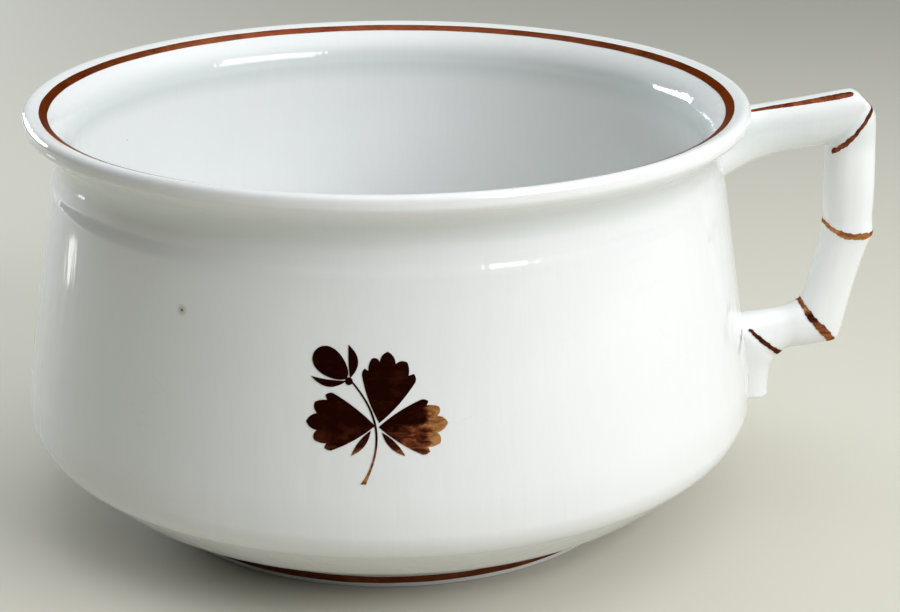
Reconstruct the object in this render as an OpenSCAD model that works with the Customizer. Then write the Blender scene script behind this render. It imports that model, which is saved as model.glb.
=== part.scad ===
// Ironstone chamber pot: a low round bowl with an everted lip, a foot ring and a bamboo handle,
// decorated in copper lustre with painted lines and a leaf sprig on each side.
// Millimetres, +Z up. The origin is the centre of the foot, on the table. The handle points to +X.

/* [Bowl] */
// Outer radius of the lip
lip_r = 115.8; // [96:0.1:140]
// Height from the table to the crown of the lip
pot_h = 134.8; // [112:0.1:165]
// Thickness of the wall
wall = 5.2; // [4:0.1:6.5]
// Thickness of the floor above the foot
floor_t = 5.5; // [4:0.1:7]
// How far the corner of belly and wall lies outside the lip, before rounding
belly_out = 5.2; // [3.5:0.1:8]
// Height of that corner
belly_z = 32.9; // [28:0.1:40]
// Rounding of the belly
belly_round = 16.5; // [13:0.1:20]
// How far the corner of underside and belly lies inside the lip, before rounding
under_in = 12.8; // [10.7:0.1:15.3]
// Height of that corner
under_z = 15.1; // [12.6:0.1:18]
// Rounding between the underside and the belly
under_round = 26; // [21:0.5:32]
// How far the narrowest part of the neck lies inside the lip, before rounding
neck_in = 9.2; // [7.7:0.1:11]
// Height of the lip's crown above the neck
neck_drop = 12.3; // [10.2:0.1:14.8]
// Rounding of the hollow under the lip
neck_round = 10; // [8:0.1:12]
// Rounding at the edge of the flat floor inside
floor_round = 20; // [16:0.5:26]

/* [Lip] */
// Height of the lip's crown above the corner under its outer edge
lip_thick = 4.4; // [3.8:0.1:5.2]
// Fall of the lip's top towards the throat, in degrees
lip_fall = 21; // [17:0.5:25]
// Rounding under the lip's outer edge
lip_low_round = 2.4; // [1.5:0.1:3]
// Rounding over the lip's outer edge
lip_top_round = 2.5; // [1.8:0.1:2.7]
// How far the corner of lip and throat lies inside the lip's edge, before rounding
crown_in = 10.4; // [9.8:0.1:11]
// Rounding of that corner
crown_round = 5; // [3:0.1:6]
// Depth of the throat below the crown
throat_drop = 10.8; // [9.6:0.1:13]
// Rounding of the throat
throat_round = 9; // [6:0.1:10]

/* [Foot] */
// Height of the foot ring
foot_h = 6; // [5:0.1:7.2]
// How far the top of the foot ring lies inside the lip
foot_in = 33.1; // [28:0.1:38]
// How far the foot ring draws in from its top to the table
foot_taper = 1; // [0:0.1:1.5]
// Width of the foot ring at its top
foot_w = 8; // [6:0.1:10]
// Rounding of the edges that stand on the table
foot_edge_round = 0.8; // [0.4:0.1:1.2]

/* [Handle] */
// Radius of the handle's canes at the root of the upper arm
cane_r = 8.5; // [7.1:0.1:9.6]
// How much the radius falls from one joint to the next
cane_taper = 0.3; // [0.2:0.05:0.4]
// Squareness of a cane's section: 2 is round, more has flatter sides
cane_square = 2.2; // [2.1:0.1:3]
// How much a cane is thinner between its joints
cane_waist = 0.35; // [0:0.05:1]
// Extra radius of the mitred edges
joint_swell = 0.6; // [0.3:0.1:0.9]
// Plain length that a cane keeps past its mitres before it thins
joint_land = 2; // [1.6:0.1:2.4]
// Distance from the lip to the axis of the upper corner
corner_out = 34.6; // [29:0.1:42]
// Depth of the upper corner's axis below the crown of the lip
corner_drop = 7.8; // [6.5:0.1:9.4]
// Rise of the upper arm towards its corner, in degrees
arm_rise = 10.5; // [8:0.5:13]
// How far the middle of the upper arm bows up
arm_bow = 0.7; // [0:0.1:1.2]
// Distance from the upper corner's axis to the flat that bevels it
corner_bevel = 6.3; // [5.4:0.1:7.7]
// How far the middle joint stands out past the upper corner
joint_lean = 1.4; // [0:0.1:3]
// Height of the middle joint above the elbow
slope_h = 32.2; // [27:0.1:39]
// How far the elbow lies inside the middle joint
slope_in = 7.5; // [6:0.1:9]
// Height of the elbow above the table
elbow_z = 56; // [50:0.1:67]
// Fall of the lower arm from the elbow to the spur
lower_fall = 5.7; // [4:0.1:7]
// How far the spur's axis lies outside the belly corner
spur_out = 0.3; // [0:0.1:1.5]
// Height of the spur's lower end above the table
spur_end_z = 29.6; // [25:0.1:35]
// Extra radius of the upper arm at its root, which only thickens it below
root_flare = 3.2; // [2:0.1:4]
// Length over which that flare dies away
root_flare_len = 30; // [25:0.5:36]

/* [Lustre] */
// Thickness of a lustre film
film = 0.2; // [0.15:0.01:0.3]
// Clearance between a film and the glaze under it
film_gap = 0.01; // [0.005:0.001:0.02]
// Width of the line on the lip
rim_line_w = 2.9; // [2:0.1:3.2]
// How far that line's outer edge lies inside the lip's edge
rim_line_in = 5.3; // [4.5:0.1:5.5]
// Width of the line on the foot
foot_line_w = 2.3; // [1.6:0.1:3]
// Height of that line's lower edge above the table
foot_line_z = 1.8; // [1.4:0.1:2.2]
// Width of the bands on the handle's joints
band_w = 1.7; // [1.2:0.1:2.4]
// Width of the stripe on the upper arm at its outer end
stripe_w = 3.8; // [3:0.1:4.6]
// Width of that stripe at the lip
stripe_tip_w = 1.6; // [1.2:0.1:2]
// How far that stripe lies in front of the arm's middle plane
stripe_side = 3.6; // [2.4:0.1:4.2]
// Distance from the lip to the start of that stripe
stripe_start = 1; // [0.5:0.1:4]
// How far that stripe runs past the axis of the upper corner
stripe_past = 1; // [0:0.1:1.5]

/* [Sprig] */
// Height of the point where the leaves meet, above the table
sprig_z = 68; // [66:0.5:74]
// Turn of the sprig round the bowl from the square-on place, in degrees
sprig_turn = -2.1; // [-6:0.1:6]
// Length of the upper leaf
top_leaf_len = 19.4; // [17:0.1:22]
// Length of the two side leaves
side_leaf_len = 18.9; // [16:0.1:22]
// Length of the bud
bud_len = 11.4; // [9:0.1:13]
// Width of the bud
bud_w = 7.6; // [6:0.1:9]
// Width of the stem
stem_w = 0.6; // [0.5:0.05:1]
// Width of the stem's cut end
stem_end_w = 1.6; // [1:0.1:2]

/* [Hidden] */
$fn = 96;
glaze = "#eef0ea";
lustre = "#6b2a12";
// Largest turn between two points of a rounded corner, in degrees
arc_step = 6;
// Length that reaches past any piece, for cuts
reach = 150;

// Corners of the bowl's section as [radius, height], before rounding
seat = [lip_r - foot_in, foot_h];
under = [lip_r - under_in, under_z];
belly = [lip_r + belly_out, belly_z];
neck = [lip_r - neck_in, pot_h - neck_drop];
lip_low = [lip_r, pot_h - lip_thick];
lip_top = [lip_r, pot_h + lip_top_round * (tan(lip_fall) + 1 / cos(lip_fall) - 1)];
crown = lip_point(crown_in);
throat = [wall_r(pot_h - throat_drop, -wall), pot_h - throat_drop];
in_belly = inset(under, belly, neck, wall);
in_under = inset(seat, under, belly, wall);
floor_z = foot_h + floor_t;
floor_edge = meet_height(seat + wall * left_normal(seat, under), under - seat, floor_z);

// The bowl's outside from the foot to the lip, as [corner, rounding]
outside = [[seat, 0], [under, under_round], [belly, belly_round], [neck, neck_round],
    [lip_low, lip_low_round], [lip_top, lip_top_round]];
// The bowl's inside from the crown of the lip to the floor
inside = [[crown, crown_round], [throat, throat_round], [in_belly, belly_round - wall],
    [in_under, under_round - wall], [floor_edge, floor_round]];

// Corners of the foot ring's section
foot_out = [seat.x - foot_taper, 0];
foot_top_in = [seat.x - foot_w, foot_h];
foot_bottom_in = [seat.x - foot_w + foot_taper, 0];

// Points of the handle's axis as [x, z], from inside the neck to the end of the spur
corner = [lip_r + corner_out, pot_h - corner_drop];
root_x = neck.x - cane_r / 2;
root = [root_x, corner.y - (corner.x - root_x) * tan(arm_rise)];
elbow = [corner.x + joint_lean - slope_in, elbow_z];
joint = [corner.x + joint_lean, elbow_z + slope_h];
spur_top = [belly.x + spur_out, elbow_z - lower_fall];
spur_end = [spur_top.x, spur_end_z];
cane_axis = [root, corner, joint, elbow, spur_top, spur_end];
last_cane = len(cane_axis) - 2;
// Places of the painted joints along that axis
corner_at = 1;
joint_at = 2;
elbow_at = 3;
spur_at = 4;
// Direction of the flat that bevels the upper corner
bevel_dir = unit([1, 1]);
// Points round a cane, rings along its flank, and steps from there to a mitre
cane_sides = 32;
cane_steps = 8;
corner_steps = 4;
// Steps along the straight part of the stripe and over half its width, and from a joint to a band's edge
stripe_steps = 10;
stripe_sides = 2;
band_steps = 2;

// Plain geometry
function unit(v) = v / norm(v);
function left_normal(a, b) = let (d = unit(b - a)) [-d.y, d.x];
function turned(p, t) = [p.x * cos(t) - p.y * sin(t), p.x * sin(t) + p.y * cos(t)];
function meet_height(p, d, z) = p + d * (z - p.y) / d.y;

// Point of the lip's sloping top at a distance in from its edge
function lip_point(inward) = lip_top - inward * [1, tan(lip_fall)];

// Corner b of the line a, b, c, moved to its left by w, square to both sides
function inset(a, b, c, w) =
    let (n = left_normal(a, b), m = left_normal(b, c))
    b + w * (n + m) / (1 + n * m);

// Half the angle at corner b, and the centre of the arc of radius r that rounds it
function half_angle(a, b, c) = acos(unit(a - b) * unit(c - b)) / 2;
function arc_centre(a, b, c, r) = b + unit(unit(a - b) + unit(c - b)) * r / sin(half_angle(a, b, c));

// Points of that arc
function arc_points(a, b, c, r) =
    let (
        m = arc_centre(a, b, c, r),
        cut = r / tan(half_angle(a, b, c)),
        p = b + unit(a - b) * cut - m,
        q = b + unit(c - b) * cut - m,
        sweep = atan2(cross(p, q), p * q),
        steps = ceil(abs(sweep) / arc_step)
    )
    [for (i = [0:steps]) m + turned(p, sweep * i / steps)];

// Points of a line of [corner, rounding] pairs, whose two ends are sharp
function rounded(line) = [
    for (i = [0:len(line) - 1])
        each line[i][1] == 0
            ? [line[i][0]]
            : arc_points(line[i - 1][0], line[i][0], line[i + 1][0], line[i][1])
];

// Radius of the straight wall at height z, or of a surface at a distance out from it
function wall_r(z, out = 0) =
    belly.x + (neck.x - belly.x) * (z - belly.y) / (neck.y - belly.y)
    + out * norm(neck - belly) / (neck.y - belly.y);

// Points from p up to q along a curve that bows to the left by sag
function bow(p, q, sag, steps = 4) = [
    for (i = [0:steps - 1])
        let (t = i / steps)
        p + (q - p) * t + left_normal(p, q) * 4 * sag * t * (1 - t)
];

// A body of revolution whose section is a band of constant thickness over the line a, b
module film_ring(a, b) {
    n = -left_normal(a, b);
    rotate_extrude()
        polygon([a + n * film_gap, b + n * film_gap, b + n * (film_gap + film), a + n * (film_gap + film)]);
}

// The bowl: one wall from the foot seat over the belly, neck and lip to the floor
module bowl() {
    color(glaze)
        rotate_extrude()
            polygon(rounded(concat(outside, inside, [[[0, floor_z], 0], [[0, foot_h], 0]])));
}

// The bowl's outer form filled solid, which trims the roots of the handle
module bowl_form() {
    rotate_extrude()
        polygon(rounded(concat(outside, [[[0, pot_h], 0], [[0, foot_h], 0]])));
}

// The foot ring, luted under the bowl
module foot_ring() {
    color(glaze)
        rotate_extrude()
            polygon(rounded([[foot_top_in, 0], [foot_bottom_in, foot_edge_round],
                [foot_out, foot_edge_round], [seat, 0]]));
}

// Directions along the handle's canes, and out of its bend, in the XZ plane
function cane_length(i) = norm(cane_axis[i + 1] - cane_axis[i]);
function cane_dir(i) = unit(cane_axis[i + 1] - cane_axis[i]);
function cane_out(i) = left_normal(cane_axis[i], cane_axis[i + 1]);
function in_space(p) = [p.x, 0, p.y];

// Half the turn at a joint of the handle
function half_turn(i) = acos(cane_dir(i - 1) * cane_dir(i)) / 2;

// Radius of the canes next to a joint
function joint_r(i) = cane_r - cane_taper * i;

// Length over which a cane runs from a mitre to that radius
function land(i) =
    i == 0 || i > last_cane
        ? 0
        : (joint_r(i) + joint_land) * tan(half_turn(i)) + joint_land;

// Share of a cane's radius that a share of the plain circle's radius becomes
function squared(v) = sign(v) * pow(abs(v), 2 / cane_square);

// Closed ring of points about a centre, wide in the direction out and deep along Y
function ring(centre, out, wide, deep) = [
    for (k = [0:cane_sides - 1])
        let (t = 360 * k / cane_sides)
        in_space(centre + out * wide * squared(cos(t))) + [0, deep * squared(sin(t)), 0]
];

// Share of the way along a cane from its first land to its last
function share(i, s) = min(1, max(0, (s - land(i)) / (cane_length(i) - land(i) - land(i + 1))));

// Extra radius of the upper arm near its root
function flare(i, s) = i == 0 ? root_flare * pow(max(0, 1 - s / root_flare_len), 2) : 0;

// Radius of a cane at a distance s from its first joint, and how far its centre lies off the axis
function cane_radius(i, s) =
    joint_r(i) - cane_taper * share(i, s) - cane_waist * sin(180 * share(i, s)) + flare(i, s);
function lift(i, s) = (i == 0 ? arm_bow * sin(180 * share(i, s)) : 0) - flare(i, s);

// Ring square to a cane at a distance s from its first joint, at a height over the glaze
function cane_ring(i, s, height = 0) =
    let (r = cane_radius(i, s) + height)
    ring(cane_axis[i] + cane_dir(i) * s + cane_out(i) * lift(i, s), cane_out(i), r, r);

// Ring in the mitre plane of a joint, at a height over the glaze
function joint_ring(i, height = 0) =
    let (r = joint_r(i) + joint_swell + height)
    ring(cane_axis[i], unit(cane_out(i - 1) + cane_out(i)), r / cos(half_turn(i)), r);

// Rings between two others
function between(a, b) = [
    for (f = [1:corner_steps - 1])
        [for (k = [0:cane_sides - 1]) a[k] + (b[k] - a[k]) * f / corner_steps]
];

// Rings of a cane between its lands
function flank(i) =
    let (first = land(i), last = cane_length(i) - land(i + 1))
    [
        for (k = [0:cane_steps])
            cane_ring(i, first + (last - first) * k / cane_steps)
    ];

// Rings from one joint of the handle up to the next
function cane(i) =
    let (
        rings = flank(i),
        start = joint_ring(max(i, 1)),
        end = joint_ring(min(i + 1, last_cane))
    )
    concat(
        i == 0 ? [] : concat([start], between(start, rings[0])),
        rings,
        i == last_cane ? [] : between(rings[cane_steps], end)
    );

// A point pushed back to the flat that bevels the upper corner
function bevelled(p, grow) =
    let (past = ([p.x, p.z] - corner) * bevel_dir - corner_bevel - grow)
    p - max(0, past) * in_space(bevel_dir);
function bevel_all(rings, grow) = [for (r = rings) [for (p = r) bevelled(p, grow)]];

// Solid through a row of rings: a bar with flat ends, or a closed loop
module loft(rings, loop = false) {
    sides = len(rings[0]);
    count = len(rings);
    flanks = [
        for (i = [0:count - (loop ? 1 : 2)], k = [0:sides - 1])
            let (
                a = i * sides + k,
                b = i * sides + (k + 1) % sides,
                c = (i + 1) % count * sides + k,
                d = (i + 1) % count * sides + (k + 1) % sides
            )
            each [[a, d, b], [a, c, d]]
    ];
    first = [for (k = [0:sides - 1]) k];
    last = [for (k = [sides - 1:-1:0]) (count - 1) * sides + k];
    polyhedron([for (r = rings) each r], loop ? flanks : concat(flanks, [first, last]));
}

// The handle: one moulded bar of five mitred canes, trimmed where it meets the bowl
module handle() {
    color(glaze)
        difference() {
            loft(bevel_all([for (i = [0:last_cane]) each cane(i)], 0));
            bowl_form();
        }
}

// Rings of a band's face over a joint, at a height over the glaze
function band_face(i, height) =
    let (
        mid = joint_ring(i, height),
        before = cane_ring(i - 1, cane_length(i - 1) - land(i), height),
        after = cane_ring(i, land(i), height),
        step = band_w / 2 / band_steps
    )
    bevel_all(
        [for (k = [-band_steps:band_steps]) toward(mid, k < 0 ? before : after, step * abs(k))],
        height
    );

// A ring moved a distance towards another, each point along its own line
function toward(a, b, d) = [for (k = [0:cane_sides - 1]) a[k] + unit(b[k] - a[k]) * d];

// Lustre band on the joint between two canes
module joint_band(i) {
    low = band_face(i, film_gap);
    high = band_face(i, film_gap + film);
    color(lustre)
        difference() {
            loft(concat(high, [for (k = [len(low) - 1:-1:0]) low[k]]), loop = true);
            bowl_form();
        }
}

module handle_corner_band() {
    joint_band(corner_at);
}

module handle_middle_band() {
    joint_band(joint_at);
}

module handle_lower_band() {
    joint_band(elbow_at);
}

module handle_root_band() {
    joint_band(spur_at);
}

// Height of a cane of radius r over its axis, at a distance y from its middle plane
function crest(r, y) = r * pow(1 - pow(abs(y) / r, cane_square), 1 / cane_square);

// Radius of the upper arm there, which swells from its last land to the mitre
function arm_radius(s, y) =
    let (
        r = cane_radius(0, s),
        past = max(0, s - cane_length(0) + land(corner_at)),
        run = land(corner_at) + crest(r + joint_swell, y) * tan(half_turn(corner_at))
    )
    r + joint_swell * past / run;

// Point over the upper arm at a distance s from its root and y from its middle plane
function arm_point(s, y, height) =
    in_space(root + cane_dir(0) * s + cane_out(0) * (lift(0, s) + crest(arm_radius(s, y), y) + height))
    + [0, y, 0];

// Section of the stripe at a distance s, as one loop over and back under it
function stripe_section(s, width) =
    let (sides = [for (k = [-stripe_sides:stripe_sides]) width / 2 * k / stripe_sides - stripe_side])
    concat(
        [for (y = sides) arm_point(s, y, film_gap + film)],
        [for (k = [len(sides) - 1:-1:0]) arm_point(s, sides[k], film_gap)]
    );

// Lustre stripe on top of the upper arm, widening from the lip to a round end
module handle_top_stripe() {
    start = (lip_r + stripe_start - root.x) / cos(arm_rise) + cane_r * tan(arm_rise);
    round = cane_length(0) + stripe_past - stripe_w / 2;
    color(lustre)
        loft(concat(
            [
                for (k = [0:stripe_steps])
                    let (t = k / stripe_steps, width = stripe_tip_w + (stripe_w - stripe_tip_w) * t)
                    stripe_section(start + (round - start) * t, width)
            ],
            [for (a = [20:20:80]) stripe_section(round + stripe_w / 2 * sin(a), stripe_w * cos(a))]
        ));
}

// Lustre line on the lip's sloping top
module rim_line() {
    color(lustre)
        film_ring(lip_point(rim_line_in), lip_point(rim_line_in + rim_line_w * cos(lip_fall)));
}

// Lustre line round the foot
module foot_line() {
    rise = seat - foot_out;
    low = meet_height(foot_out, rise, foot_line_z);
    high = meet_height(foot_out, rise, foot_line_z + foot_line_w);
    color(lustre)
        film_ring(low, high);
}

// Half of a leaf's edge from its base to its tip: points as shares of its length and half width,
// then the bows between them as shares of its length
leaf_points = [[0, 0], [0.62, 0.98], [0.73, 0.9], [0.7, 0.74], [0.88, 0.65], [0.84, 0.29], [1, 0]];
leaf_bows = [0.03, 0.015, 0, 0.015, 0.03, 0.03];
// Where the leaves spring from, their headings in degrees, and the half widths left and right of them
top_leaf_base = [0.9, 2];
top_leaf_heading = 83;
top_leaf_w = [6.4, 8.8];
left_leaf_base = [-0.8, 0.4];
left_leaf_heading = 178;
left_leaf_w = [7.8, 8.8];
right_leaf_base = [1, 0.1];
right_leaf_heading = 2;
right_leaf_w = [7.2, 8.7];

// Points of one half of a leaf's edge, short of its tip
function leaf_edge(length, width) = [
    for (i = [0:len(leaf_bows) - 1])
        let (p = leaf_points[i], q = leaf_points[i + 1])
        each bow([p.x * length, p.y * width], [q.x * length, q.y * width], leaf_bows[i] * length)
];

// A leaf with five lobes, its base at the origin and its tip along +X
module leaf(length, half_w) {
    left = leaf_edge(length, half_w[0]);
    right = leaf_edge(length, half_w[1]);
    polygon(concat(left, [[length, 0]], [for (i = [len(right) - 1:-1:1]) [right[i].x, -right[i].y]]));
}

// A pointed blade between two bowed edges
module blade(base, tip, sag_left, sag_right) {
    polygon(concat(bow(base, tip, sag_left), bow(tip, base, sag_right)));
}

// An egg with its narrow end at the origin and its length along +X
egg_steps = 24;
egg_fullness = 0.25;
module egg(length, width) {
    polygon([
        for (i = [0:egg_steps - 1])
            let (t = 360 * i / egg_steps)
            [length * (1 - cos(t)) / 2, width / 2 * sin(t) * (1 - egg_fullness * cos(t))]
    ]);
}

// The stem bends away from the leaves' meeting point, more strongly above it than below
stem_top = 12.8;
stem_end = -16.3;
stem_bend_y = -3;
stem_bend_above = 0.0272;
stem_bend_below = 0.0215;
stem_steps = 16;
function stem_x(y) = -(y > stem_bend_y ? stem_bend_above : stem_bend_below) * pow(y - stem_bend_y, 2);
function stem_half_w(y) =
    let (down = max(0, (y - stem_bend_y) / (stem_end - stem_bend_y)))
    (stem_w + (stem_end_w - stem_w) * pow(down, 6)) / 2;

// The stem, drawn as one strip along its bend
module stem() {
    heights = [for (i = [0:stem_steps]) stem_top + (stem_end - stem_top) * i / stem_steps];
    polygon(concat(
        [for (y = heights) [stem_x(y) - stem_half_w(y), y]],
        [for (i = [stem_steps:-1:0]) [stem_x(heights[i]) + stem_half_w(heights[i]), heights[i]]]));
}

// The bud stands on a knob at the head of the stem, between a lower and an upper sepal
knob = [-7.6, 12.9];
knob_r = 1.1;
bud_base = [-0.5, 1];
bud_heading = 140;
// Two small leaflets hang under the leaves' meeting point, one on each side of the stem
left_leaflet = [[-1.6, -0.9], [-7.2, -8.2]];
right_leaflet = [[1.5, -1.5], [8, -8.2]];
leaflet_full = 1.3;
leaflet_flat = 0.7;

// The sprig drawn flat, with the leaves' meeting point at the origin
module sprig() {
    translate(top_leaf_base)
        rotate(top_leaf_heading)
            leaf(top_leaf_len, top_leaf_w);
    translate(left_leaf_base)
        rotate(left_leaf_heading)
            leaf(side_leaf_len, left_leaf_w);
    translate(right_leaf_base)
        rotate(right_leaf_heading)
            leaf(side_leaf_len, right_leaf_w);
    stem();
    translate(knob) {
        circle(r = knob_r);
        translate(bud_base)
            rotate(bud_heading)
                egg(bud_len, bud_w);
        blade([-0.6, 0.1], [-10.5, 1], 2.3, -0.3);
        blade([0.3, 0.8], [0, 10.2], 0.2, 2.5);
    }
    blade(left_leaflet[0], left_leaflet[1], leaflet_full, leaflet_flat);
    blade(right_leaflet[0], right_leaflet[1], leaflet_flat, leaflet_full);
}

// The sprig laid on the conical wall, facing -Y before it is turned
module sprig_film(turn) {
    low = sprig_z + stem_end;
    high = sprig_z + knob.y + bud_base.y + bud_len;
    color(lustre)
        rotate(turn)
            intersection() {
                film_ring([wall_r(low), low], [wall_r(high), high]);
                translate([0, 0, sprig_z])
                    rotate([90, 0, 0])
                        linear_extrude(reach)
                            sprig();
            }
}

module front_sprig() {
    sprig_film(sprig_turn);
}

module back_sprig() {
    sprig_film(sprig_turn + 180);
}

bowl();
foot_ring();
handle();
rim_line();
foot_line();
handle_top_stripe();
handle_corner_band();
handle_middle_band();
handle_lower_band();
handle_root_band();
front_sprig();
back_sprig();
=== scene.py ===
# Ironstone chamber pot with a bamboo handle and copper-lustre decoration.
# Metres, +Z up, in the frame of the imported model: the origin is the centre of the foot.
import bmesh
import bpy
import math
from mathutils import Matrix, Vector


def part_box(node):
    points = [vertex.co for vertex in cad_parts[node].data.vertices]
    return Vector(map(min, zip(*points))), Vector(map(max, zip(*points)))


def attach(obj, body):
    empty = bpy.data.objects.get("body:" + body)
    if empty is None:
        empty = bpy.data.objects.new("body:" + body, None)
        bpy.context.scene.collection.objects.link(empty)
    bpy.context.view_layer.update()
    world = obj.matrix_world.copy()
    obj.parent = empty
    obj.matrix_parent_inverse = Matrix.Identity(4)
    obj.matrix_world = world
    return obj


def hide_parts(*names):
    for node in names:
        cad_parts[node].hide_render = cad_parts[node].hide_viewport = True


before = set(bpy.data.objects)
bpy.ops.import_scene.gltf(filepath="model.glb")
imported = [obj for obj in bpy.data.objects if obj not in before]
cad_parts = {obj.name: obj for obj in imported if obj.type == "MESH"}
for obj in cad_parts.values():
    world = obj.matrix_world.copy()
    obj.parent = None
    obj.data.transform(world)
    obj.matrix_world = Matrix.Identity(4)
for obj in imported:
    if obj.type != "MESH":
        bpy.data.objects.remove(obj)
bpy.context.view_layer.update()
mm = 0.001

# The bowl: one thick wall of white ironstone, jiggered in a mould, with an everted lip.
# It was dipped whole, so the glaze runs over the lip and down the inside without a seam.
pot_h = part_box("bowl")[1].z
foot_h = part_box("bowl")[0].z
lip_r = 115.8 * mm
lip_slope = math.tan(math.radians(21))
lip_round = 2.5 * mm
wall = 5.2 * mm
floor_t = 5.5 * mm
seat = Vector((lip_r - 33.1 * mm, foot_h))
under = Vector((lip_r - 15.8 * mm, 13.5 * mm))
under_round = 24 * mm
hip = Vector((lip_r + 4 * mm, 31 * mm))
hip_round = 10.5 * mm
bend_z = 44 * mm
bend_round = 60 * mm
# The straight wall lies on the line from the belly to the neck, and leaves it at the bend.
belly = Vector((lip_r + 5.2 * mm, 32.9 * mm))
neck = Vector((lip_r - 9.2 * mm, pot_h - 12.3 * mm))
neck_round = 10 * mm
lip_low = Vector((lip_r, pot_h - 4.4 * mm))
lip_low_round = 2.4 * mm
lip_top = Vector((lip_r, pot_h + lip_round * (lip_slope + math.hypot(1, lip_slope) - 1)))
crown_in = 10.4 * mm
crown_round = 15 * mm
throat_z = pot_h - 10.8 * mm
throat_round = 9 * mm
# A soft step in the wall below the neck, which catches the light.
shoulder_z = pot_h - 25 * mm
shoulder_top = shoulder_z + 2.8 * mm
shoulder_in = 0.6 * mm
shoulder_round = 10 * mm
floor_z = foot_h + floor_t
floor_round = 20 * mm
wheel_steps = 192
corner_steps = 10
same_place = 1e-6


def left_of(a, b):
    """The direction square to the line from a to b, on its left."""
    along = (b - a).normalized()
    return Vector((-along.y, along.x))


def inset(a, b, c, depth):
    """Corner b of the line a, b, c, moved to its left by a depth."""
    n, m = left_of(a, b), left_of(b, c)
    return b + (n + m) * depth / (1 + n.dot(m))


def wall_r(z, out=0):
    """Radius of the straight wall at a height, or of a surface at a distance out from it."""
    lean = (neck - belly).length / (neck.y - belly.y)
    return belly.x + (neck.x - belly.x) * (z - belly.y) / (neck.y - belly.y) + out * lean


def lip_point(inward):
    """Point of the lip's sloping top at a distance in from its edge."""
    return lip_top - Vector((inward, inward * lip_slope))


def select_at(mesh, places):
    """Selects only the vertices that lie at the given places."""
    for vert in mesh.verts:
        vert.select = any((vert.co - p).length < same_place for p in places)
    mesh.select_flush_mode()


def draw_wire(name, corners, closed=False):
    """A wire in the XZ plane through corners given as (point, rounding)."""
    bpy.ops.object.select_all(action="DESELECT")
    bpy.ops.mesh.primitive_plane_add(size=mm)
    piece = bpy.context.object
    piece.name = piece.data.name = name
    points = [Vector((p.x, 0, p.y)) for p, r in corners]
    bpy.ops.object.mode_set(mode="EDIT")
    bpy.ops.mesh.select_mode(type="VERT")
    bpy.ops.mesh.merge(type="CENTER")
    bpy.ops.transform.translate(value=points[0])
    for a, b in zip(points, points[1:]):
        bpy.ops.mesh.extrude_vertices_move(TRANSFORM_OT_translate={"value": b - a})
    if closed:
        select_at(bmesh.from_edit_mesh(piece.data), [points[0], points[-1]])
        bpy.ops.mesh.edge_face_add()
    for i in range(1, len(points) - 1):
        if corners[i][1]:
            a, b, c = points[i - 1:i + 2]
            half = (a - b).angle(c - b) / 2
            select_at(bmesh.from_edit_mesh(piece.data), [b])
            cut = corners[i][1] / math.tan(half)
            bpy.ops.mesh.bevel(offset=cut, segments=corner_steps, affect="VERTICES",
                               clamp_overlap=False)
    return piece


def spin_wire(steps=wheel_steps):
    """Turns the wire being edited once round the pot's axis and closes the seam."""
    bpy.ops.mesh.select_all(action="SELECT")
    bpy.ops.mesh.spin(steps=steps, angle=2 * math.pi, center=(0, 0, 0), axis=(0, 0, 1))
    bpy.ops.mesh.select_all(action="SELECT")
    bpy.ops.mesh.remove_doubles(threshold=same_place)
    bpy.ops.mesh.normals_make_consistent(inside=False)
    bpy.ops.object.mode_set(mode="OBJECT")
    bpy.ops.object.shade_smooth_by_angle(angle=math.radians(40))


bend = Vector((wall_r(bend_z), bend_z))
crown = lip_point(crown_in)
throat = Vector((wall_r(throat_z, -wall), throat_z))
floor_edge = seat + wall * left_of(seat, under)
floor_edge += (under - seat) * (floor_z - floor_edge.y) / (under.y - seat.y)
bowl = draw_wire("bowl_body", [
    (Vector((0, foot_h)), 0),
    (seat, 0),
    (under, under_round),
    (hip, hip_round),
    (bend, bend_round),
    (Vector((wall_r(shoulder_z), shoulder_z)), shoulder_round),
    (Vector((wall_r(shoulder_top, -shoulder_in), shoulder_top)), shoulder_round),
    (Vector((wall_r(neck.y, -shoulder_in), neck.y)), neck_round),
    (lip_low, lip_low_round),
    (lip_top, lip_round),
    (crown, crown_round),
    (throat, throat_round),
    (inset(under, hip, bend, wall), hip_round - wall),
    (inset(seat, under, hip, wall), under_round - wall),
    (floor_edge, floor_round),
    (Vector((0, floor_z)), 0),
])
spin_wire()


def linear(hex_colour):
    """Linear RGBA of an sRGB hex colour."""
    parts = [int(hex_colour[i:i + 2], 16) / 255 for i in (1, 3, 5)]
    return [c / 12.92 if c <= 0.04045 else ((c + 0.055) / 1.055) ** 2.4 for c in parts] + [1]


def add_node(tree, kind, settings, inputs):
    """Adds a node, sets it up, and links or fills its inputs."""
    node = tree.nodes.new(kind)
    for name, value in settings.items():
        setattr(node, name, value)
    for name, value in inputs.items():
        if isinstance(value, bpy.types.NodeSocket):
            tree.links.new(value, node.inputs[name])
        else:
            node.inputs[name].default_value = value
    return node


def add_noise(tree, place, grain, detail):
    """Noise with lumps about a grain across."""
    return add_node(tree, "ShaderNodeTexNoise", {}, {
        "Vector": place, "Scale": 1 / grain, "Detail": detail})


def mix_colours(tree, share, first, second):
    """A colour at a share of the way from one to another."""
    return add_node(tree, "ShaderNodeMix", {"data_type": "RGBA"}, {
        0: share, 6: first, 7: second}).outputs[2]


# Ironstone glaze: thick, glassy and faintly blue-green where it gathers, over a white body, with
# painted shade in its hollows.
# To the eye it is a soft white with clear reflections that waver on the uneven surface.
glaze = bpy.data.materials.new("ironstone_glaze")
glaze.use_nodes = True
tree = glaze.node_tree
shader = tree.nodes["Principled BSDF"]
place = add_node(tree, "ShaderNodeTexCoord", {}, {}).outputs["Object"]
clouds = add_noise(tree, place, 55 * mm, 3)
height = add_node(tree, "ShaderNodeSeparateXYZ", {}, {"Vector": place}).outputs["Z"]
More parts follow.
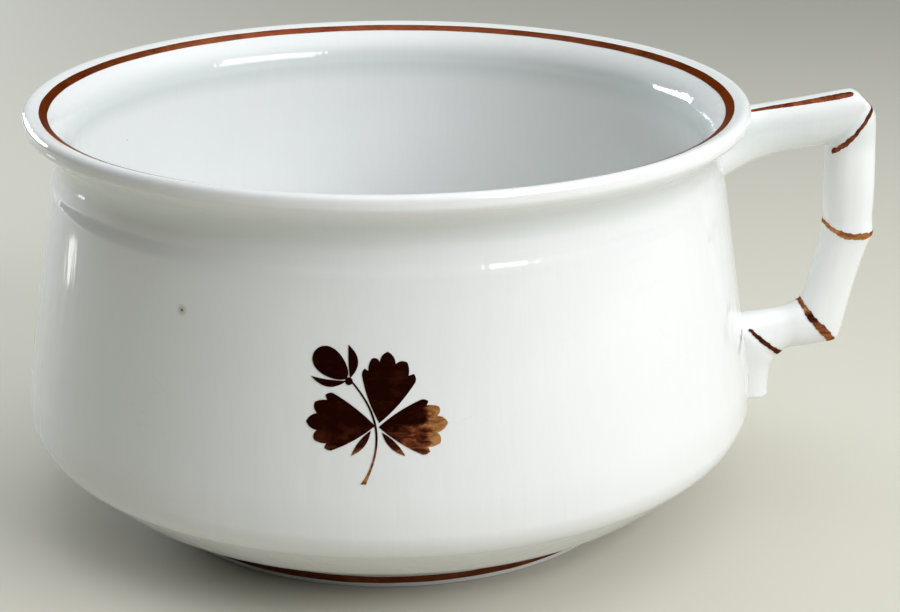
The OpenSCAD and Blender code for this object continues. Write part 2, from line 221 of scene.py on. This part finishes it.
# Painted shade: the tint turns darker and blue-green in the hollow under the lip and in the crease
# over the foot, where the glaze also gathers.
shaded_hollows = []
for z, first, last, most in ((neck.y, 9 * mm, 1 * mm, 0.6), (foot_h, 2.5 * mm, 0, 0.9)):
    above = add_node(tree, "ShaderNodeMath", {"operation": "SUBTRACT"}, {0: height, 1: z})
    away = add_node(tree, "ShaderNodeMath", {"operation": "ABSOLUTE"}, {0: above.outputs[0]})
    shaded_hollows.append(add_node(tree, "ShaderNodeMapRange", {"interpolation_type": "SMOOTHSTEP"}, {
        "Value": away.outputs[0], "From Min": first, "From Max": last, "To Max": most}))
gathered_glaze_and_shade = add_node(tree, "ShaderNodeMath", {"operation": "MAXIMUM"}, {
    0: shaded_hollows[0].outputs[0], 1: shaded_hollows[1].outputs[0]})
tint = mix_colours(tree, clouds.outputs["Fac"], linear("#f4f5f4"), linear("#ecefed"))
# Painted shade under the lip and over the foot, as a darker blue-green.
tint = mix_colours(tree, gathered_glaze_and_shade.outputs[0], tint, linear("#d6dedb"))
# Iron specks under the glaze, about half a millimetre across.
speck_apart = 24 * mm
specks = add_node(tree, "ShaderNodeTexVoronoi", {}, {"Vector": place, "Scale": 1 / speck_apart})
spotted = add_node(tree, "ShaderNodeMapRange", {}, {
    "Value": specks.outputs["Distance"], "From Min": 0.017, "From Max": 0.008, "To Max": 0.5})
tint = mix_colours(tree, spotted.outputs[0], tint, linear("#8a7660"))
# Crazing: hairlines in patches, drawn three times as wide as they are so that they show.
drift = add_noise(tree, place, 7 * mm, 2)
craze_place = add_node(tree, "ShaderNodeMix", {"data_type": "VECTOR"}, {
    0: 0.004, 4: place, 5: drift.outputs["Color"]})
craze_cells = add_node(tree, "ShaderNodeTexVoronoi", {"feature": "DISTANCE_TO_EDGE"}, {
    "Vector": craze_place.outputs[1], "Scale": 1 / (9 * mm)})
craze_line = add_node(tree, "ShaderNodeMapRange", {}, {
    "Value": craze_cells.outputs["Distance"], "From Min": 0.016, "From Max": 0.004})
patches = add_noise(tree, place, 48 * mm, 2)
in_patch = add_node(tree, "ShaderNodeMapRange", {}, {
    "Value": patches.outputs["Fac"], "From Min": 0.56, "From Max": 0.72, "To Max": 0.06})
crazed = add_node(tree, "ShaderNodeMath", {"operation": "MULTIPLY"}, {
    0: craze_line.outputs[0], 1: in_patch.outputs[0]})
tint = mix_colours(tree, crazed.outputs[0], tint, linear("#a9a79a"))
# A pit in the glaze on the left of the wall, with a brown stain round it.
pit = (-59 * mm, -93.9 * mm, 95.6 * mm)
to_pit = add_node(tree, "ShaderNodeVectorMath", {"operation": "DISTANCE"}, {
    0: place, 1: pit}).outputs["Value"]
for colour, first, last, most in (
        ("#b3a586", 2 * mm, 0.5 * mm, 0.6),
        ("#4d3c26", 0.5 * mm, 0.3 * mm, 0.9)):
    stain = add_node(tree, "ShaderNodeMapRange", {}, {
        "Value": to_pit, "From Min": first, "From Max": last, "To Max": most})
    tint = mix_colours(tree, stain.outputs[0], tint, linear(colour))
tree.links.new(tint, shader.inputs["Base Color"])
wear = add_noise(tree, place, 18 * mm, 5)
gloss = add_node(tree, "ShaderNodeMapRange", {}, {
    "Value": wear.outputs["Fac"],
    "From Min": 0.3, "From Max": 0.75, "To Min": 0.05, "To Max": 0.12})
tree.links.new(gloss.outputs[0], shader.inputs["Roughness"])
shader.inputs["IOR"].default_value = 1.52
# Relief of the glaze: slow waves, runs drawn down the wall, and fine dimples over both.
drawn_down = add_node(tree, "ShaderNodeMapping", {}, {"Vector": place, "Scale": (1, 1, 0.12)})
relief = {}
for where, grain, detail, depth in (
        (place, 32 * mm, 1, 0.3 * mm),
        (drawn_down.outputs[0], 5 * mm, 2, 0.16 * mm),
        (place, 4 * mm, 2, 0.01 * mm)):
    lumps = add_noise(tree, where, grain, detail)
    relief["Normal"] = add_node(tree, "ShaderNodeBump", {}, {
        "Height": lumps.outputs["Fac"], "Distance": depth, "Strength": 1, **relief}).outputs[0]
tree.links.new(relief["Normal"], shader.inputs["Normal"])

bowl.data.materials.append(glaze)
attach(bowl, "root")
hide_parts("bowl")

# The foot: a plain ring of the same clay, luted under the bowl, so a crease shows above it.
# It was dipped with the bowl, and its standing edges are softened by the glaze.
foot_w = 8 * mm
foot_taper = 1 * mm
foot_edge = 0.8 * mm
foot_out = Vector((seat.x - foot_taper, 0))
foot = draw_wire("foot_ring_body", [
    (Vector((seat.x - foot_w, foot_h)), 0),
    (Vector((seat.x - foot_w + foot_taper, 0)), foot_edge),
    (foot_out, foot_edge),
    (seat, 0),
], closed=True)
spin_wire()
foot.data.materials.append(glaze)
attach(foot, "root")
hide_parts("foot_ring")

# The handle: a bar press-moulded in the same clay as five lengths of cane with mitred joints, the
# last a short spur. Its root is spread on the neck and its spur on the belly with slip.
cane_r = 8.5 * mm
cane_taper = 0.3 * mm
cane_square = 2.2
cane_waist = (0.35 * mm, -0.3 * mm, 0.3 * mm, 0.35 * mm, 0.35 * mm)
joint_swell = (0, 0, 0.5 * mm, 0.4 * mm, 1.2 * mm)
cane_corner = Vector((lip_r + 34.6 * mm, pot_h - 7.8 * mm))
cane_elbow = Vector((cane_corner.x - 6.1 * mm, 56 * mm))
cane_joint = cane_elbow + Vector((7.5 * mm, 32.2 * mm))
spur_top = Vector((belly.x + 0.3 * mm, 50.3 * mm))
spur_end = Vector((spur_top.x, 29.6 * mm))
root_x = neck.x - cane_r / 2
arm_slope = math.tan(math.radians(10.5))
cane_root = Vector((root_x, cane_corner.y - (cane_corner.x - root_x) * arm_slope))
axis = [cane_root, cane_corner, cane_joint, cane_elbow, spur_top, spur_end]
last_cane = len(axis) - 2
arm_bow = 0.7 * mm
root_flare = 3.2 * mm
root_flare_len = 30 * mm
joint_land = 2 * mm
joint_soft = 0.9 * mm
cane_steps = 7
cane_sides = 32
# The spur's end is rounded off by millimetres back from it and millimetres off its radius.
spur_round = ((0.9, 0), (0.25, 0.2), (0, 0.8))


def along(i):
    """Direction of a cane."""
    return (axis[i + 1] - axis[i]).normalized()


def half_turn(i):
    """Half the turn at a joint."""
    return along(i - 1).angle(along(i)) / 2


def joint_r(i):
    """Radius of the canes next to a joint."""
    return cane_r - cane_taper * i


def land(i):
    """Length over which a cane runs from a mitre to that radius."""
    if i == 0 or i > last_cane:
        return 0
    return (joint_r(i) + joint_land) * math.tan(half_turn(i)) + joint_land


def share(i, s):
    """Share of the way along a cane from its first land to its last."""
    length = (axis[i + 1] - axis[i]).length
    return min(1, max(0, (s - land(i)) / (length - land(i) - land(i + 1))))


def flare(i, s):
    """Extra radius of the upper arm near its root."""
    return root_flare * max(0, 1 - s / root_flare_len) ** 2 if i == 0 else 0


def cane_ring(i, s):
    """A ring square to a cane, as (centre, way out of the loop, half width, half depth)."""
    t = share(i, s)
    out = left_of(axis[i], axis[i + 1])
    lift = (arm_bow * math.sin(math.pi * t) if i == 0 else 0) - flare(i, s)
    r = joint_r(i) - cane_taper * t - cane_waist[i] * math.sin(math.pi * t) + flare(i, s)
    return axis[i] + along(i) * s + out * lift, out, r, r


def joint_ring(i, offset=0):
    """A ring in the mitre plane of a joint, moved along the cane on that side of it."""
    out = (left_of(axis[i - 1], axis[i]) + left_of(axis[i], axis[i + 1])).normalized()
    moved = along(i if offset > 0 else i - 1) * offset / math.cos(half_turn(i))
    r = joint_r(i) + joint_swell[i]
    return axis[i] + moved, out, r / math.cos(half_turn(i)), r


def squared(v):
    """Share of the circle's radius, pushed out to a section with flatter sides."""
    return math.copysign(abs(v) ** (2 / cane_square), v)


def lay_ring(piece, ring, old=None):
    """Puts the selected loop on a ring, from the ring it lay on or from a unit circle."""
    centre, out, wide, deep = ring
    mesh = bmesh.from_edit_mesh(piece.data)
    for vert in [v for v in mesh.verts if v.select]:
        if old is None:
            u, v = squared(vert.co.x), squared(vert.co.y)
        else:
            flat = Vector((vert.co.x, vert.co.z)) - old[0]
            u, v = flat.dot(old[1]) / old[2], vert.co.y / old[3]
        flat = centre + out * wide * u
        vert.co = flat.x, deep * v, flat.y
    bmesh.update_edit_mesh(piece.data)


def draw_bar(name, rings, sides):
    """A tube through a row of rings, made by extruding a circle from each to the next."""
    bpy.ops.object.select_all(action="DESELECT")
    bpy.ops.mesh.primitive_circle_add(vertices=sides, radius=1)
    piece = bpy.context.object
    piece.name = piece.data.name = name
    bpy.ops.object.mode_set(mode="EDIT")
    bpy.ops.mesh.select_mode(type="VERT")
    lay_ring(piece, rings[0])
    for old, new in zip(rings, rings[1:]):
        bpy.ops.mesh.extrude_region_move()
        lay_ring(piece, new, old)
    return piece


def apply_modifier(piece, kind, **settings):
    """Adds a modifier to the piece and applies it."""
    modifier = piece.modifiers.new(kind.title(), kind)
    for name, value in settings.items():
        setattr(modifier, name, value)
    bpy.ops.object.modifier_apply(modifier=modifier.name)


rings = []
for i in range(last_cane + 1):
    first, last = land(i), (axis[i + 1] - axis[i]).length - land(i + 1)
    if i > 0:
        rings += [joint_ring(i), joint_ring(i, joint_soft)]
    rings += [cane_ring(i, first + (last - first) * k / cane_steps) for k in range(cane_steps + 1)]
    if i < last_cane:
        rings.append(joint_ring(i + 1, -joint_soft))
centre, out, wide, deep = rings.pop()
for back, less in spur_round:
    rings.append((centre - along(last_cane) * back * mm, out, wide - less * mm, deep - less * mm))
handle = draw_bar("bamboo_handle", rings, cane_sides)
bpy.ops.mesh.select_all(action="SELECT")
bpy.ops.mesh.fill_holes(sides=0)
bpy.ops.mesh.normals_make_consistent(inside=False)
bpy.ops.object.mode_set(mode="OBJECT")
apply_modifier(handle, "SUBSURF", levels=2, render_levels=2)
# The upper corner is cut to a flat with soft edges, and the elbow is only blunted.
for corner, way, depth, soft in (
        (cane_corner, Vector((1, 0, 1)), 6.3 * mm, 0.7 * mm),
        (cane_elbow, Vector((0.75, 0, -0.66)), 7.7 * mm, 0.4 * mm)):
    way.normalize()
    for vert in handle.data.vertices:
        over = (vert.co - Vector((corner.x, 0, corner.y))).dot(way) - depth
        if over > -8 * soft:
            vert.co -= way * (over + soft * math.log1p(math.exp(-over / soft)))
bpy.ops.object.shade_smooth_by_angle(angle=math.radians(50))
handle.data.materials.append(glaze)
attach(handle, "root")
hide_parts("handle")

# The lip line: copper lustre brushed on the lip's slope while the pot turned on a banding wheel.
# It is a metal film fired over the glaze, and its edges waver with the brush.
film = 0.08 * mm
sunk = 0.03 * mm
line_thinness = 0.48
line_brush = 0.12
line_mottle = 0.08
line_steps = 384
brush_waves = ((3, 0.3), (8, 0.25), (19, 0.25), (37, 0.2))


def waver(angle, seed):
    """An uneven course between -1 and 1 that closes on itself once round."""
    return sum(math.sin(n * angle + seed * n * n) * size for n, size in brush_waves)


def draw_line(name, course, wander, node):
    """A thin painted ring over a course of points of the section, with wavering edges."""
    a, b = course[0], course[-1]
    out = -left_of(a, b)
    over = [(p + out * film, 0) for p in course]
    ring = draw_wire(name, [(a - out * sunk, 0)] + over + [(b - out * sunk, 0)], closed=True)
    spin_wire(steps=line_steps)
    way = (b - a).normalized()
    for vert in ring.data.vertices:
        angle = math.atan2(vert.co.y, vert.co.x)
        flat = Vector((math.hypot(vert.co.x, vert.co.y), vert.co.z))
        t = (flat - a).dot(way) / (b - a).length
        flat += way * wander * (waver(angle, 0.4) * (1 - t) + waver(angle, 1.7) * t)
        vert.co = flat.x * math.cos(angle), flat.x * math.sin(angle), flat.y
    hand_in_film(ring, node,
                 lambda co: line_thinness + line_mottle * waver(math.atan2(co.y, co.x), 2.2),
                 lambda co: line_brush)


# Copper lustre: a film of reduced copper and tin, brushed by hand. Where it lies thick it is a
# near-black maroon mirror; where it is thin or streaky it turns to bright copper.
lustre = bpy.data.materials.new("copper_lustre")
lustre.use_nodes = True
tree = lustre.node_tree
shader = tree.nodes["Principled BSDF"]
place = add_node(tree, "ShaderNodeTexCoord", {}, {}).outputs["Object"]
laid = add_node(tree, "ShaderNodeMapping", {}, {"Vector": place, "Scale": (0.3, 0.6, 1)})
streaks = add_node(tree, "ShaderNodeTexNoise", {}, {
    "Vector": laid.outputs[0], "Scale": 1 / (1.5 * mm),
    "Detail": 4, "Roughness": 0.6, "Distortion": 0.8})
pools = add_noise(tree, place, 6 * mm, 2)
uneven_film = add_node(tree, "ShaderNodeMix", {"data_type": "FLOAT"}, {
    0: 0.6, 2: pools.outputs["Fac"], 3: streaks.outputs["Fac"]})
brushed_on = add_node(tree, "ShaderNodeMapRange", {"clamp": False}, {
    "Value": uneven_film.outputs[0],
    "From Min": 0.4, "From Max": 0.6, "To Min": -0.5, "To Max": 0.5})
# The thinness attribute also carries a painted reflection: the bright copper on the sprigs' right
# leaf.
thinness_and_reflection = add_node(tree, "ShaderNodeAttribute", {"attribute_name": "thinness_and_reflection"}, {})
brush = add_node(tree, "ShaderNodeAttribute", {"attribute_name": "brush"}, {})
thin = add_node(tree, "ShaderNodeMath", {"operation": "MULTIPLY_ADD"}, {
    0: brushed_on.outputs[0], 1: brush.outputs["Fac"], 2: thinness_and_reflection.outputs["Fac"]})
hue = add_node(tree, "ShaderNodeValToRGB", {}, {"Fac": thin.outputs[0]})
hue.color_ramp.elements[0].color = linear("#2c0d06")
hue.color_ramp.elements[1].color = linear("#dd9f64")
for thin_share, colour in ((0.3, "#5c2c1d"), (0.55, "#8a4a31"), (0.8, "#b67b49")):
    hue.color_ramp.elements.new(thin_share).color = linear(colour)
tree.links.new(hue.outputs[0], shader.inputs["Base Color"])
gloss = add_node(tree, "ShaderNodeMapRange", {}, {
    "Value": streaks.outputs["Fac"],
    "From Min": 0.3, "From Max": 0.7, "To Min": 0.26, "To Max": 0.42})
tree.links.new(gloss.outputs[0], shader.inputs["Roughness"])
shader.inputs["Metallic"].default_value = 1
shader.inputs["Specular Tint"].default_value = linear("#dcab94")
brushed = add_node(tree, "ShaderNodeBump", {}, {
    "Height": streaks.outputs["Fac"], "Distance": 0.02 * mm, "Strength": 1})
tree.links.new(brushed.outputs[0], shader.inputs["Normal"])


def hand_in_film(piece, node, thinness_and_reflection, brush):
    """Marks how thin the film is, with any reflection painted into it, and how much the brush
    shows, and hands the piece in as lustre.
    """
    for name, value in (("thinness_and_reflection", thinness_and_reflection), ("brush", brush)):
        mark = piece.data.attributes.new(name, "FLOAT", "POINT")
        for vert in piece.data.vertices:
            mark.data[vert.index].value = value(vert.co)
    piece.data.materials.append(lustre)
    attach(piece, "root")
    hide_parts(node)


crown_turn = (crown - lip_top).angle(throat - crown)
crown_start = (crown - lip_top).length - crown_round * math.tan(crown_turn / 2)


def lip_surface(s):
    """Point of the lip's top at a length in from its edge, following the rounding of the crown."""
    drop = max(0, s - crown_start) ** 2 / (2 * crown_round)
    return lip_top.lerp(crown, s / (crown - lip_top).length) + left_of(lip_top, crown) * drop


rim_line_first = 5.7 * mm
rim_line_w = 2.9 * mm
rim_line_wander = 0.14 * mm
lip_course = [lip_surface(rim_line_first + rim_line_w * k / 4) for k in range(5)]
draw_line("lip_line", lip_course, rim_line_wander, "rim_line")

# The foot line: the same lustre, brushed round the outside of the foot in one turn of the wheel.
# It keeps a little clear of the table.
foot_line_edges = (1.8, 4.1)
foot_line_wander = 0.12 * mm
foot_rise = (seat - foot_out) / foot_h
foot_course = [foot_out + foot_rise * z * mm for z in foot_line_edges]
draw_line("foot_line_paint", foot_course, foot_line_wander, "foot_line")

# The cane bands: strokes of lustre laid by hand round the four joints of the handle.
# Each wanders off its joint and is thick where the brush was set down, thin where it was lifted.
stroke_steps = 128
stroke_rows = 6
stroke_brush = 0.3
stroke_mottle = 0.12
stroke_waver = 0.22 * mm
stroke_uneven = 0.38
stroke_thins = 0.45
stroke_tip = 0.03


def draw_stroke(name, lay, thinness_and_reflection, node):
    """A sheet laid by its shares along and across, pulled onto the handle's glaze and thickened.
    The points that meet at a seam or at a tip become one."""
    bpy.ops.object.select_all(action="DESELECT")
    bpy.ops.mesh.primitive_grid_add(x_subdivisions=stroke_steps, y_subdivisions=stroke_rows, size=2)
    stroke = bpy.context.object
    stroke.name = stroke.data.name = name
    for vert in stroke.data.vertices:
        vert.co = lay((vert.co.x + 1) / 2, vert.co.y)
    bpy.ops.object.mode_set(mode="EDIT")
    bpy.ops.mesh.select_all(action="SELECT")
    bpy.ops.mesh.remove_doubles(threshold=same_place)
    bpy.ops.mesh.normals_make_consistent(inside=False)
    bpy.ops.object.mode_set(mode="OBJECT")
    apply_modifier(stroke, "SHRINKWRAP", target=handle, wrap_method="NEAREST_SURFACEPOINT",
                   wrap_mode="ABOVE_SURFACE", offset=film)
    apply_modifier(stroke, "SOLIDIFY", thickness=film + sunk, offset=-1)
    bpy.ops.object.shade_smooth_by_angle(angle=math.radians(50))
    hand_in_film(stroke, node, thinness_and_reflection, lambda co: stroke_brush)


def round_end(past, length):
    """Share of a stroke's full width at a distance from its rounded end."""
    return math.sqrt(1 - (1 - min(1, max(0, past / length))) ** 2)


def draw_band(name, i, width, moved, seed, thinness_and_reflection, node, gap=0):
    """A stroke round a joint, moved along the canes by millimetres on the loop's inside, on the
    flanks and on the outside. A gap leaves its degrees bare on each side of the inside's middle."""
    centre, out, wide, deep = joint_ring(i)
    bare = math.radians(gap)

    def lay(t, row):
        angle = math.pi + bare + t * (2 * math.pi - 2 * bare)
        turn = math.cos(angle)
        full = 1 + stroke_uneven * waver(angle, seed + 1.3)
        full *= 1 - stroke_thins * max(0, -turn) ** 3
        if gap:
            full *= round_end(min(t, 1 - t), stroke_tip)
        lean = (moved[2] if turn > 0 else moved[0]) * turn ** 2 + moved[1] * (1 - turn ** 2)
        shift = row * width / 2 * full + lean * mm + stroke_waver * waver(angle, seed)
        flat = centre + out * wide * squared(math.cos(angle))
        flat += along(i if shift > 0 else i - 1) * shift / math.cos(half_turn(i))
        return flat.x, deep * squared(math.sin(angle)), flat.y

    draw_stroke(name, lay, lambda co: thinness_and_reflection + stroke_mottle * waver(co.z / (5 * mm), seed), node)


draw_band("corner_stroke", 1, 1.5 * mm, (1.4, 3.2, 0.8), 1.9, 0.45, "handle_corner_band", gap=32)
draw_band("middle_stroke", 2, 2.1 * mm, (-1.6, 0.7, 0.2), 2.1, 0.72, "handle_middle_band")
draw_band("elbow_stroke", 3, 2.3 * mm, (0, 0.9, 2.4), 4.2, 0.6, "handle_lower_band")
draw_band("root_stroke", 4, 1.4 * mm, (-3.5, -2.5, -1.8), 5.5, 0.25, "handle_root_band", gap=55)

# The arm stripe: one stroke of lustre along the front shoulder of the upper arm.
# It starts thin under the lip, swells, and ends in a round brush mark at the corner.
stripe_w = 2.6 * mm
stripe_tip_w = 1.2 * mm
stripe_side = 3.6 * mm
stripe_tip = 0.6 * mm
stripe_end = 1.9 * mm
stripe_thinness = 0.42
stripe_uneven = 0.12
stripe_first = (lip_r + 1 * mm - cane_root.x) / along(0).x + cane_r * arm_slope
stripe_last = (cane_corner - cane_root).length + 1 * mm


def lay_stripe(t, row):
    """A point of the stripe at shares of its length and of its half width."""
    s = stripe_first + (stripe_last - stripe_first) * t
    full = stripe_tip_w + (stripe_w - stripe_tip_w) * min(1, 1.25 * t)
    full *= min(round_end(s - stripe_first, stripe_tip), round_end(stripe_last - s, stripe_end))
    y = full / 2 * (row + stripe_uneven * waver(5 * t, 3 + row)) - stripe_side
    centre, out, r, deep = cane_ring(0, s)
    flat = centre + out * r * (1 - min(1, abs(y) / r) ** cane_square) ** (1 / cane_square)
    return flat.x, y, flat.y


draw_stroke("arm_stripe", lay_stripe,
            lambda co: stripe_thinness + stroke_mottle * waver(co.x / (6 * mm), 1.1),
            "handle_top_stripe")

# The sprigs: a leaf and bud sprig painted in the same lustre on the front and on the back.
# Its leaves, bud and leaflets are single strokes, and the stem is drawn with a thin brush.
sprig_z = 68 * mm
sprig_turn = math.radians(-2.1)
leaf_points = ((0, 0), (0.62, 0.98), (0.73, 0.9), (0.7, 0.74), (0.88, 0.65), (0.84, 0.29), (1, 0))
leaf_bows = (0.03, 0.015, 0, 0.015, 0.03, 0.03)
stem_head = 12.9
stem_mid = -3
stem_len = 29.2
stem_low_len = 13.3
stem_w = 0.6
stem_spread = 1.0
stem_curls = (0.0272, 0.0215)
knob = Vector((-7.6, stem_head))
strip = 1.05
strips_each_way = 21


def turned(p, degrees, base):
    """A point turned about the origin and moved to a base."""
    c, s = math.cos(math.radians(degrees)), math.sin(math.radians(degrees))
    return Vector((p[0] * c - p[1] * s, p[0] * s + p[1] * c)) + Vector(base)


def bow(p, q, sag, steps=8):
    """Points from p up to q along a curve that bows to the left by a sag."""
    p, q = Vector(p), Vector(q)
    side = left_of(p, q)
    shares = [k / steps for k in range(steps)]
    return [p.lerp(q, t) + side * 4 * sag * t * (1 - t) for t in shares]


def leaf(length, left_w, right_w, heading, base):
    """Outline of a leaf with five lobes."""
    edges = []
    for width in (left_w, right_w):
        corners = [(x * length, y * width) for x, y in leaf_points]
        edges.append([])
        for a, b, sag in zip(corners, corners[1:], leaf_bows):
            edges[-1] += bow(a, b, sag * length)
    outline = edges[0] + [Vector((length, 0))] + [Vector((p.x, -p.y)) for p in edges[1][:0:-1]]
    return [turned(p, heading, base) for p in outline]


def blade(base, tip, sag_left, sag_right):
    """Outline of a pointed stroke between two bowed edges."""
    return bow(base, tip, sag_left, 12) + bow(tip, base, sag_right, 12)


def egg(length, width, heading, base):
    """Outline of an egg with its narrow end at the base."""
    points = []
    for k in range(40):
        t = 2 * math.pi * k / 40
        across = width / 2 * math.sin(t) * (1 - 0.25 * math.cos(t))
        points.append(turned((length * (1 - math.cos(t)) / 2, across), heading, base))
    return points


def stem_side(side):
    """One edge of the stem, from its head to its cut end."""
    points = []
    for k in range(33):
        y = stem_head - stem_len * k / 32
        down = max(0, (stem_mid - y) / stem_low_len)
        half = (stem_w + stem_spread * down ** 6) / 2
        curl = stem_curls[0] if y > stem_mid else stem_curls[1]
        points.append(Vector((-curl * (y - stem_mid) ** 2 + side * half, y)))
    return points


def circle(radius, base):
    """Outline of a round dab."""
    return [turned((radius, 0), 15 * k, base) for k in range(24)]


strokes = [
    leaf(20.2, 6.4, 8.8, 83, (0.8, 1.2)),
    leaf(19.3, 7.8, 8.8, 178, (-0.4, 0.4)),
    leaf(19.3, 7.2, 8.7, 2, (0.6, 0.1)),
    stem_side(-1) + stem_side(1)[::-1],
    circle(1.1, knob),
    egg(11.4, 7.6, 140, knob + Vector((-0.5, 1))),
    blade(knob + Vector((-0.6, 0.1)), knob + Vector((-10.5, 1)), 2.3, -0.3),
    blade(knob + Vector((0.3, 0.8)), knob + Vector((0, 10.2)), 0.2, 2.5),
    blade((-1.6, -0.9), (-7.2, -8.2), 1.3, 0.7),
    blade((1.5, -1.5), (8, -8.2), 0.7, 1.3),
]


def draw_sprig(name, turn, node):
    """The strokes drawn flat, cut into upright strips, laid on the wall and given thickness."""
    drawn = []
    for k, outline in enumerate(strokes):
        corners = [(p * mm, 0) for p in outline]
        drawn.append(draw_wire("%s_stroke_%d" % (name, k), corners, closed=True))
        bpy.ops.mesh.select_all(action="SELECT")
        bpy.ops.mesh.edge_face_add()
        bpy.ops.transform.translate(value=(0, -0.002 * mm * k, 0))
        bpy.ops.object.mode_set(mode="OBJECT")
    for stroke in drawn:
        stroke.select_set(True)
    bpy.context.view_layer.objects.active = drawn[0]
    bpy.ops.object.join()
    sprig = bpy.context.object
    sprig.name = sprig.data.name = name
    bpy.ops.object.mode_set(mode="EDIT")
    bpy.ops.mesh.select_all(action="SELECT")
    bpy.ops.mesh.quads_convert_to_tris()
    for k in range(-strips_each_way, strips_each_way + 1):
        for way in ((1, 0, 0), (0, 0, 1)):
            bpy.ops.mesh.select_all(action="SELECT")
            bpy.ops.mesh.bisect(plane_co=Vector(way) * k * strip * mm, plane_no=way)
    for vert in bmesh.from_edit_mesh(sprig.data).verts:
        z = sprig_z + vert.co.z
        r = wall_r(z, film - vert.co.y)
        x, c, s = vert.co.x, math.cos(turn), math.sin(turn)
        deep = math.sqrt(r * r - x ** 2)
        vert.co = x * c + deep * s, x * s - deep * c, z
    bpy.ops.mesh.select_all(action="SELECT")
    bpy.ops.mesh.normals_make_consistent(inside=False)
    bpy.ops.object.mode_set(mode="OBJECT")
    apply_modifier(sprig, "SOLIDIFY", thickness=film + sunk, offset=0)
    bpy.ops.object.shade_smooth_by_angle(angle=math.radians(30))

    def ramp(v, a, b):
        """Share of the way from a to b that v has come."""
        return min(1, max(0, (v - a) / (b - a)))

    def thinness_and_reflection(co):
        """How thin the film is, with a painted reflection: bright copper streaks on the right
        leaf's tip and lower half, brown down the stem.
        """
        x = (co.x * math.cos(turn) + co.y * math.sin(turn)) / mm
        y = (co.z - sprig_z) / mm
        # Painted reflection: the tip and lower half of the right leaf are made thin so that they
        # show bright copper.
        on_right_leaf = x > 2 and abs(y) < 9 and y > -1.5 - 0.6 * x
        if on_right_leaf:
            edge = x + 0.8 * math.sin(1.7 * y) + 0.3 * math.sin(4.1 * y)
            tip = 0.9 * ramp(edge, 13.6, 14.7)
            low_half = 0.5 * ramp(y + 0.4 * math.sin(1.3 * x), 0.8, -0.4) * ramp(x, 2, 6)
            return max(tip, low_half)
        if y < -5.2:
            return 0.6 * ramp(y, -5.2, -7.5)
        return 0.12 * ramp(y, 1, -5)

    def brush_shows(co):
        """How much the brush shows: most where the film is half thin."""
        return min(1, 0.12 + 2.2 * thinness_and_reflection(co)) * (1 - 0.6 * thinness_and_reflection(co))

    hand_in_film(sprig, node, thinness_and_reflection, brush_shows)


draw_sprig("front_sprig_paint", sprig_turn, "front_sprig")
draw_sprig("back_sprig_paint", sprig_turn + math.pi, "back_sprig")

# The table: plain pale paper under the pot, with painted shade that darkens it where it runs back,
# away from the lamps.
bpy.ops.object.select_all(action="DESELECT")
bpy.ops.mesh.primitive_circle_add(vertices=96, radius=5, fill_type="NGON")
table = bpy.context.object
table.name = "table"
paper = bpy.data.materials.new("matt_paper")
paper.use_nodes = True
tree = paper.node_tree
far = add_node(tree, "ShaderNodeSeparateXYZ", {}, {
    "Vector": add_node(tree, "ShaderNodeTexCoord", {}, {}).outputs["Object"]}).outputs["Y"]
far = add_node(tree, "ShaderNodeMapRange", {"interpolation_type": "SMOOTHSTEP"}, {
    "Value": far, "From Min": 0.1, "From Max": 0.9})
# Painted shade: the paper darkens towards the back.
shade = mix_colours(tree, far.outputs[0], linear("#cdcabd"), linear("#a6a49a"))
shader = tree.nodes["Principled BSDF"]
tree.links.new(shade, shader.inputs["Base Color"])
shader.inputs["Roughness"].default_value = 0.8
table.data.materials.append(paper)

# Light: a large soft key from the front right, a dim sky overhead and behind, a low window at the
# back left, and a small strip at the left whose reflection stands on the left of the wall.
def add_light(name, place, target, size, watts, colour):
    """A soft rectangular lamp that faces its target."""
    lamp = bpy.data.lights.new(name, "AREA")
    lamp.shape = "RECTANGLE"
    lamp.size, lamp.size_y = size
    lamp.energy = watts
    lamp.color = linear(colour)[:3]
    holder = bpy.data.objects.new(name, lamp)
    holder.location = place
    holder.rotation_euler = (Vector(target) - Vector(place)).to_track_quat("-Z", "Y").to_euler()
    bpy.context.scene.collection.objects.link(holder)


add_light("key_softbox", (0.84, -0.68, 0.72), (0, 0, 0.07), (0.9, 0.55), 11.2, "#fafaff")
add_light("left_window", (-0.85, 0.9, 0.3), (0, 0, 0.06), (0.6, 0.3), 8.5, "#eef4ff")
add_light("left_strip", (-0.337, 0.12, 0.039), (-0.098, -0.051, 0.1),
          (0.029, 0.022), 0.006, "#ffffff")
sky_top = (0.2, 0, 0.98)
sky_level = 1.77
back_level = 0.55
world = bpy.data.worlds.new("studio")
world.use_nodes = True
tree = world.node_tree
way = add_node(tree, "ShaderNodeTexCoord", {}, {}).outputs["Generated"]
to_top = add_node(tree, "ShaderNodeVectorMath", {"operation": "DOT_PRODUCT"}, {
    0: way, 1: sky_top})
overhead = add_node(tree, "ShaderNodeMapRange", {"interpolation_type": "SMOOTHSTEP"}, {
    "Value": to_top.outputs["Value"], "From Min": 0.6, "From Max": 1, "To Max": sky_level})
to_back = add_node(tree, "ShaderNodeSeparateXYZ", {}, {"Vector": way}).outputs["Y"]
behind = add_node(tree, "ShaderNodeMapRange", {}, {
    "Value": to_back, "From Min": 0.1, "From Max": 1, "To Max": back_level})
level = add_node(tree, "ShaderNodeMath", {"operation": "ADD"}, {
    0: overhead.outputs[0], 1: behind.outputs[0]})
sky = tree.nodes["Background"]
sky.inputs["Color"].default_value = linear("#f2f6f5")
tree.links.new(level.outputs[0], sky.inputs["Strength"])
bpy.context.scene.world = world

# The camera: in front of the pot and above it, at the height of the photograph.
camera_down = 0.348
camera_right = 0.032
lens = bpy.data.cameras.new("camera")
lens.lens = 79.2
lens.sensor_width = 36
camera = bpy.data.objects.new("camera", lens)
camera.location = (0, -622.3 * mm, 287.7 * mm)
camera.rotation_euler = (math.pi / 2 - camera_down, 0, -camera_right)
bpy.context.scene.collection.objects.link(camera)
bpy.context.scene.camera = camera
bpy.context.scene.view_settings.view_transform = "Standard"
